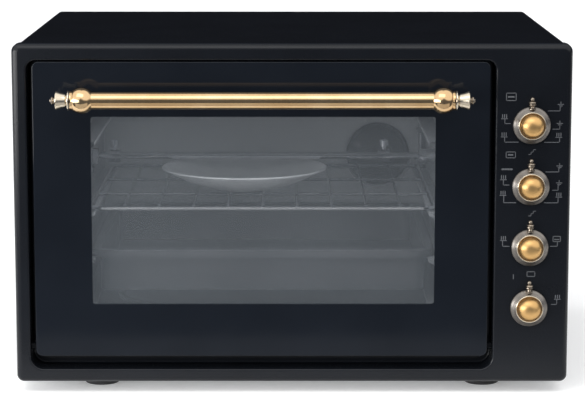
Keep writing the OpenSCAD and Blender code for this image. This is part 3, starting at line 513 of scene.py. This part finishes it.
def pointer_profile():
    """The small turned finial, from its foot outwards."""
    return ([(-3.2, 3.3), (-2.8, 3.6), (-1.6, 3.6), (-1.0, 2.6), (0.4, 2.3), (1.0, 2.6), (1.5, 3.5),
             (2.1, 4.0), (2.8, 3.9), (3.3, 3.3), (3.7, 3.3), (4.2, 3.9), (4.9, 4.1), (5.5, 3.7), (5.9, 2.7),
             (6.3, 1.9)] + arc((8.0, 0), 2.3, 145, 8, 10) + [(10.32, 0.1)])


DOME_INSET = 7.7         # from the skirt's rim in to the dome's
DOME_SINK = 0.8          # how much of the cap stays inside the skirt
POINTER_OUT = 4.6        # from the panel to the pointer's axis


def make_knob(k):
    """Skirt, bead, dome and pointer, turned in millimetres from the panel outwards."""
    body = f"knob_{k}"
    cap_low, cap_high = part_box(f"knob_{k}_cap")
    skirt_low, skirt_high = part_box(f"knob_{k}_body")
    x, z = (cap_low.x + cap_high.x) / 2, (cap_low.z + cap_high.z) / 2
    back = skirt_high.y
    skirt_d = (skirt_high.y - skirt_low.y) / MM
    cap_d = (cap_high.y - cap_low.y) / MM
    r = (skirt_high.x - skirt_low.x) / 2 / MM
    origin = (x, back, z)

    skirt = [(0, r - 1.6), (0.4, r - 0.9), (1.0, r - 0.25), (1.8, r), (2.8, r - 0.1), (3.4, r - 0.5),
             (4.2, r - 1.3), (skirt_d - 2.0, r - 4.0), (skirt_d - 1.2, r - 4.6), (skirt_d - 0.7, r - 5.1),
             (skirt_d - 0.6, r - 5.6), (skirt_d - 1.4, r - 6.2), (skirt_d - 1.4, r - 9.0)]
    pewter = turned_metal(f"pewter_{k}", (0.18, 0.165, 0.15), (0.25, 0.23, 0.21), (0.30, 0.45), "Y",
                          (x, back, z))
    obj = piece(f"knob_{k}_skirt", mesh_of("skirt", *lathe(in_mm(skirt), origin, OUTWARDS, 96)), pewter,
                body)
    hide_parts(f"knob_{k}_body")

    ring = [(p[0] + skirt_d - 0.9, p[1]) for p in arc((0, r - 6.2), 0.95, -100, 260, 20)]
    piece(f"knob_{k}_bead", mesh_of("bead", *lathe_ring(in_mm(ring), origin, OUTWARDS, 96)), CHAMPAGNE_METAL,
          body)

    height, dome_r, start = cap_d - DOME_SINK, r - DOME_INSET, skirt_d + 0.6
    cap = [(skirt_d - 1.3, dome_r + 0.3), (skirt_d - 0.6, dome_r + 0.3), (start, dome_r)]
    cap += [(start + height * math.sin(a), dome_r * math.cos(a) ** 0.9)
            for a in (math.pi / 2 * i / 16 for i in range(1, 16))]
    cap += [(start + height, 0.05)]
    obj = piece(f"knob_{k}_dome", mesh_of("dome", *lathe(in_mm(cap), origin, OUTWARDS, 96)),
                SATIN_GOLD, body)
    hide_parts(f"knob_{k}_cap")

    foot = (x, back - POINTER_OUT * MM, z + r * MM)
    piece(f"knob_{k}_pointer", mesh_of("pointer", *lathe(in_mm(pointer_profile()), foot, (0, 0, 1), 48)),
          BRONZE_METAL, body)


def lathe_ring(profile, origin, along, segments):
    """Turns a closed profile that doesn't touch the axis."""
    points, faces = lathe(profile[:-1], origin, along, segments)
    faces = faces[:-2]
    last = (len(profile) - 2) * segments
    faces += [[last + k, last + (k + 1) % segments, (k + 1) % segments, k] for k in range(segments)]
    return points, faces


# ---------------------------------------------------------------- printed marks

MARK_THICK = 0.12
STROKE = 0.75


def stroke(a, b, width=STROKE):
    """A flat printed line between two points, in millimetres from the knob's centre."""
    (xa, za), (xb, zb) = a, b
    h = width / 2
    return (min(xa, xb) - h, min(za, zb) - h, max(xa, xb) + h, max(za, zb) + h)


def outline_glyph(x, z, w, h):
    return [stroke((x - w, z - h), (x + w, z - h)), stroke((x - w, z + h), (x + w, z + h)),
            stroke((x - w, z - h), (x - w, z + h)), stroke((x + w, z - h), (x + w, z + h))]


def bars_glyph(x, z, n=3):
    out = [stroke((x - 3.2, z - 2.2), (x + 3.2, z - 2.2))]
    out += [stroke((x + 2.2 * (i - (n - 1) / 2), z - 0.9), (x + 2.2 * (i - (n - 1) / 2), z + 2.2), 0.9)
            for i in range(n)]
    return out


def cross_glyph(x, z):
    return [stroke((x - 3, z), (x + 3, z)), stroke((x, z - 2.6), (x, z + 2.6)),
            stroke((x - 1.6, z - 1.6), (x + 1.6, z - 1.6))]


def steps_glyph(x, z):
    return [stroke((x - 3.6, z - 2.6), (x - 1.2, z - 2.6)), stroke((x - 1.2, z - 2.6), (x - 1.2, z)),
            stroke((x - 1.2, z), (x + 1.2, z)), stroke((x + 1.2, z), (x + 1.2, z + 2.6)),
            stroke((x + 1.2, z + 2.6), (x + 3.6, z + 2.6))]


def leader(x, z, z_end, x_end):
    """The bent line from a glyph to its knob."""
    return [stroke((x, z), (x, z_end)), stroke((x, z_end), (x_end, z_end))]


MARKS = {
    1: (outline_glyph(-22.2, 30.4, 5.2, 4.0) + [stroke((-25, 30.4), (-19.6, 30.4), 1.6)]
        + cross_glyph(30.9, 22.3) + leader(30.2, 19.0, 15.3, 17.5)
        + cross_glyph(30.2, 1.8) + leader(30.2, -1.0, -4.4, 22.8)
        + bars_glyph(29.4, -11.0) + leader(30.2, -14.0, -18.6, 14.0)
        + bars_glyph(-29.1, 9.0) + leader(-28.7, 6.2, 1.6, -22.8)
        + bars_glyph(-29.3, -10.6) + leader(-28.7, -13.6, -18.4, -14.0)),
    2: (outline_glyph(-21.8, 34.2, 5.0, 3.2) + [stroke((-24, 34.2), (-20, 34.2), 1.6)]
        + [stroke((-30.6 + 2.9 * i, 18.6), (-30.6 + 2.9 * i + 1.4, 18.6), 1.8) for i in range(4)]
        + steps_glyph(1.1, 37.2)
        + cross_glyph(30.8, 22.2) + leader(30.0, 19.4, 15.7, 16.2)
        + cross_glyph(30.6, 3.8) + leader(29.6, 1.0, -4.2, 23.9)
        + bars_glyph(30.6, -9.5) + leader(29.8, -12.2, -17.9, 15.0)
        + bars_glyph(-29.3, 9.4) + leader(-29.3, 6.6, 1.5, -23.1)
        + bars_glyph(-29.5, -7.6) + leader(-28.7, -10.4, -17.8, -15.8)),
    3: (steps_glyph(2.2, 36.8)
        + bars_glyph(-28.4, 9.4) + leader(-29.2, 6.6, 1.0, -22.0)
        + outline_glyph(29.2, 9.0, 4.0, 2.8) + [stroke((27, 8.4), (31.4, 8.4), 1.0)]
        + leader(30.0, 6.0, 1.0, 22.4)),
    4: (outline_glyph(2.0, 36.8, 4.2, 2.6) + [stroke((-17.0, 31.6), (-17.0, 36.2))]
        + bars_glyph(31.1, 11.2) + leader(30.5, 8.4, 3.3, 24.7)),
}


def make_marks():
    for k in KNOBS:
        centre = middle(f"knob_{k}_cap")
        parts = [cuboid((centre.x + a * MM, FRONT - MARK_THICK * MM, centre.z + b * MM),
                        (centre.x + c * MM, FRONT, centre.z + d * MM)) for a, b, c, d in MARKS[k]]
        piece(f"marks_{k}", join(f"marks_{k}", parts), MATERIALS["mark_grey"], "cabinet")


# ---------------------------------------------------------------- dish and feet

DISH_BASE_R = 18.0
DISH_WALL = 1.2
DISH_BEAD_R = 1.1
DISH_BEAD_TURN = 0.012   # the angle at the ball's centre that the wall leaves to the bead


def make_dish():
    """A shallow bowl: a spherical wall on a small flat base, with a rolled rim."""
    low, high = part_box("round_dish")
    centre = (low + high) / 2
    r = (high.x - low.x) / 2 / MM
    h = (high.z - low.z) / MM
    rise = (r ** 2 - DISH_BASE_R ** 2 + h ** 2) / (2 * h)
    ball = math.hypot(DISH_BASE_R, rise)
    first, last = math.asin(DISH_BASE_R / ball), math.asin(r / ball) - DISH_BEAD_TURN
    angles = [first + (last - first) * k / 14 for k in range(15)]
    outer = [(rise - ball * math.cos(a), ball * math.sin(a)) for a in angles]
    inner = [(rise - (ball - DISH_WALL) * math.cos(a), (ball - DISH_WALL) * math.sin(a)) for a in angles]
    bead = arc((h - DISH_BEAD_R, r - DISH_BEAD_R), DISH_BEAD_R, 150, -120, 10)
    profile = [(0, 0.1)] + outer + bead + inner[::-1] + [(DISH_WALL, 0.1)]
    metal = turned_metal("spun_aluminium", (0.34, 0.355, 0.37), (0.39, 0.405, 0.42), (0.4, 0.5), "Z",
                         (centre.x, centre.y, low.z), rings=1500.0, relief=0.03, Metallic=0.4)
    points, faces = lathe(in_mm(profile), (centre.x, centre.y, low.z), (0, 0, 1), 128)
    obj = piece("dish_bowl", mesh_of("dish_bowl", points, faces), metal, "rack", 50.0)
    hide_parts("round_dish")


FOOT_R = 20 * MM
FOOT_PROFILE = [(0, 18.0), (0.6, 18.8), (1.6, 19.3), (3.0, 19.6), (4.0, 19.4), (4.6, 18.8), (5.2, 18.8),
                (5.8, 19.3), (8.0, 18.9), (8.6, 18.3), (9.2, 18.3), (9.8, 18.6), (13.0, 18.0)]


def make_feet():
    low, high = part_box("feet")
    k = 0
    for x in (low.x + FOOT_R, high.x - FOOT_R):
        for y in (low.y + FOOT_R, high.y - FOOT_R):
            k += 1
            mesh = mesh_of("foot", *lathe(in_mm(FOOT_PROFILE), (x, y, 0), (0, 0, 1), 64))
            obj = piece(f"rubber_foot_{k}", mesh, MATERIALS["black_rubber"], "cabinet")
            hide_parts("feet")


# ---------------------------------------------------------------- finishes of the CAD nodes, with painted shade on the lamp glass and hinges

# These nodes don't get their record's finish. The lamp glass, hinge pins and hinge springs are painted dark as
# painted shade: the lamp so that its recess looks shaded, and the hinges so that they stay as dark as the shaded
# gap under the door.
PAINTED_SHADE_LOOKS = {"lamp_glass": LAMP_GLASS_PAINTED_SHADE, "hinge_pins": MATERIALS["black_enamel"],
            "hinge_springs": MATERIALS["black_enamel"]}


def finish_and_shade_nodes():
    slots = {s["node"]: s["material_slot"] for s in frame["record"]["subparts"]}
    for name, obj in frame["nodes"].items():
        obj.data.materials.clear()
        obj.data.materials.append(PAINTED_SHADE_LOOKS.get(name, MATERIALS[slots[name]]))


# ---------------------------------------------------------------- camera, lights, floor

CAMERA_AT = Vector((-3.87, -2420.6, 602.16)) * MM
CAMERA_TILT = 9.136
CAMERA_TURN = 0.10
CAMERA_ROLL = -0.023
LENS = 140.196


def make_camera():
    data = bpy.data.cameras.new("camera")
    data.lens = LENS
    data.sensor_width = 36
    camera = bpy.data.objects.new("camera", data)
    bpy.context.scene.collection.objects.link(camera)
    camera.location = (CAMERA_AT.x, FRONT + CAMERA_AT.y, CAMERA_AT.z)
    camera.rotation_euler = (math.radians(90 - CAMERA_TILT), math.radians(CAMERA_ROLL),
                             math.radians(-CAMERA_TURN))
    bpy.context.scene.camera = camera


def area_light(name, place, target, width, height, power, unseen=()):
    data = bpy.data.lights.new(name, "AREA")
    data.shape = "RECTANGLE"
    data.size, data.size_y = width, height
    data.energy = power
    light = bpy.data.objects.new(name, data)
    bpy.context.scene.collection.objects.link(light)
    light.location = place
    light.rotation_euler = (Vector(target) - Vector(place)).to_track_quat("-Z", "Y").to_euler()
    for ray in unseen:
        setattr(light, "visible_" + ray, False)


def make_lights():
    """Three softboxes, a card below the horizon for the bar, a soft fill and the light in the oven."""
    area_light("softbox_over", (-0.5, -1.6, 2.2), (0, 0, 0.2), 2.2, 1.2, 15)
    area_light("softbox_left", (-1.7, -0.9, 0.35), (-0.3, -0.2, 0.2), 1.4, 0.6, 22)
    area_light("softbox_front", (-1.0, -1.55, 0.32), (-0.3, -0.2, 0.2), 0.7, 0.5, 6)
    area_light("card_low", (0, -1.12, -0.6), (0, -0.12, 0.2), 3.0, 1.0, 7.2, ("camera", "diffuse"))
    area_light("fill_front", (0, -2.6, 0.62), (0, 0, 0.2), 1.2, 0.5, 2, ("camera", "glossy"))
    inside = (LINER_LOW + LINER_HIGH) / 2
    area_light("oven_light", (inside.x, LINER_LOW.y + 0.012, inside.z + 0.06),
               (inside.x, LINER_HIGH.y, inside.z), 0.36, 0.2, 0.58, ("camera", "glossy"))


SKY_TO_FRONT, SKY_TO_SIDES = -0.5, 0.6
SKY_LOW = (0.1, (0.004, 0.004, 0.005, 1))
SKY_TOP = (0.95, (1.0, 1.0, 1.0, 1))
SKY_EVEN = (0.25, 0.8)   # between these heights the sky is an even grey
SKY_GREY = (0.10, 0.11, 0.13, 1)
SKY_STRENGTH = 1.6


def make_world():
    """A sky over a dark horizon, raised to the front and sides; white where the camera sees it."""
    world = bpy.data.worlds.new("studio")
    bpy.context.scene.world = world
    world.use_nodes = True
    tree = world.node_tree
    tree.nodes.clear()
    place = tree.nodes.new("ShaderNodeTexCoord")
    split = tree.nodes.new("ShaderNodeSeparateXYZ")
    tree.links.new(place.outputs["Generated"], split.inputs["Vector"])
    sideways = tree.nodes.new("ShaderNodeMath")
    sideways.operation = "ABSOLUTE"
    tree.links.new(split.outputs["X"], sideways.inputs[0])
    height = split.outputs["Z"]
    for part, factor in ((split.outputs["Y"], SKY_TO_FRONT), (sideways.outputs["Value"], SKY_TO_SIDES)):
        add = tree.nodes.new("ShaderNodeMath")
        add.operation = "MULTIPLY_ADD"
        add.inputs[1].default_value = factor
        tree.links.new(part, add.inputs[0])
        tree.links.new(height, add.inputs[2])
        height = add.outputs["Value"]
    ramp = tree.nodes.new("ShaderNodeValToRGB")
    stops = ramp.color_ramp.elements
    stops[0].position, stops[0].color = SKY_LOW
    stops[1].position, stops[1].color = SKY_TOP
    for position in SKY_EVEN:
        stops.new(position).color = SKY_GREY
    tree.links.new(height, ramp.inputs["Fac"])
    soft = tree.nodes.new("ShaderNodeBackground")
    tree.links.new(ramp.outputs["Color"], soft.inputs["Color"])
    soft.inputs["Strength"].default_value = SKY_STRENGTH
    plain = tree.nodes.new("ShaderNodeBackground")
    plain.inputs["Color"].default_value = (1, 1, 1, 1)
    plain.inputs["Strength"].default_value = 1.0
    path = tree.nodes.new("ShaderNodeLightPath")
    mix = tree.nodes.new("ShaderNodeMixShader")
    tree.links.new(path.outputs["Is Camera Ray"], mix.inputs["Fac"])
    tree.links.new(soft.outputs["Background"], mix.inputs[1])
    tree.links.new(plain.outputs["Background"], mix.inputs[2])
    out = tree.nodes.new("ShaderNodeOutputWorld")
    tree.links.new(mix.outputs["Shader"], out.inputs["Surface"])


FLOOR_SIZE = 12.0
FLOOR_FRONT = 0.38


def make_floor():
    """A bright sheet, cut off FLOOR_FRONT ahead of the oven's middle: the door doesn't mirror it there."""
    mesh = mesh_of("floor", [(-FLOOR_SIZE, -FLOOR_FRONT, 0), (FLOOR_SIZE, -FLOOR_FRONT, 0),
                             (FLOOR_SIZE, FLOOR_SIZE, 0), (-FLOOR_SIZE, FLOOR_SIZE, 0)], [[0, 1, 2, 3]])
    floor = bpy.data.objects.new("floor", mesh)
    bpy.context.scene.collection.objects.link(floor)
    mesh.materials.append(surface("floor_paper", (0.90, 0.90, 0.90), (0.92, 0.92, 0.92), (0.7, 0.8),
                                  mottle=1.0, Emission_Color=(1, 1, 1, 1), Emission_Strength=0.2))


finish_and_shade_nodes()
make_front_frame()
make_door_glass()
make_handle()
for number in KNOBS:
    make_knob(number)
make_marks()
make_dish()
make_feet()
make_camera()
make_lights()
make_world()
make_floor()
bpy.context.scene.view_settings.view_transform = "Standard"
bpy.context.view_layer.update()
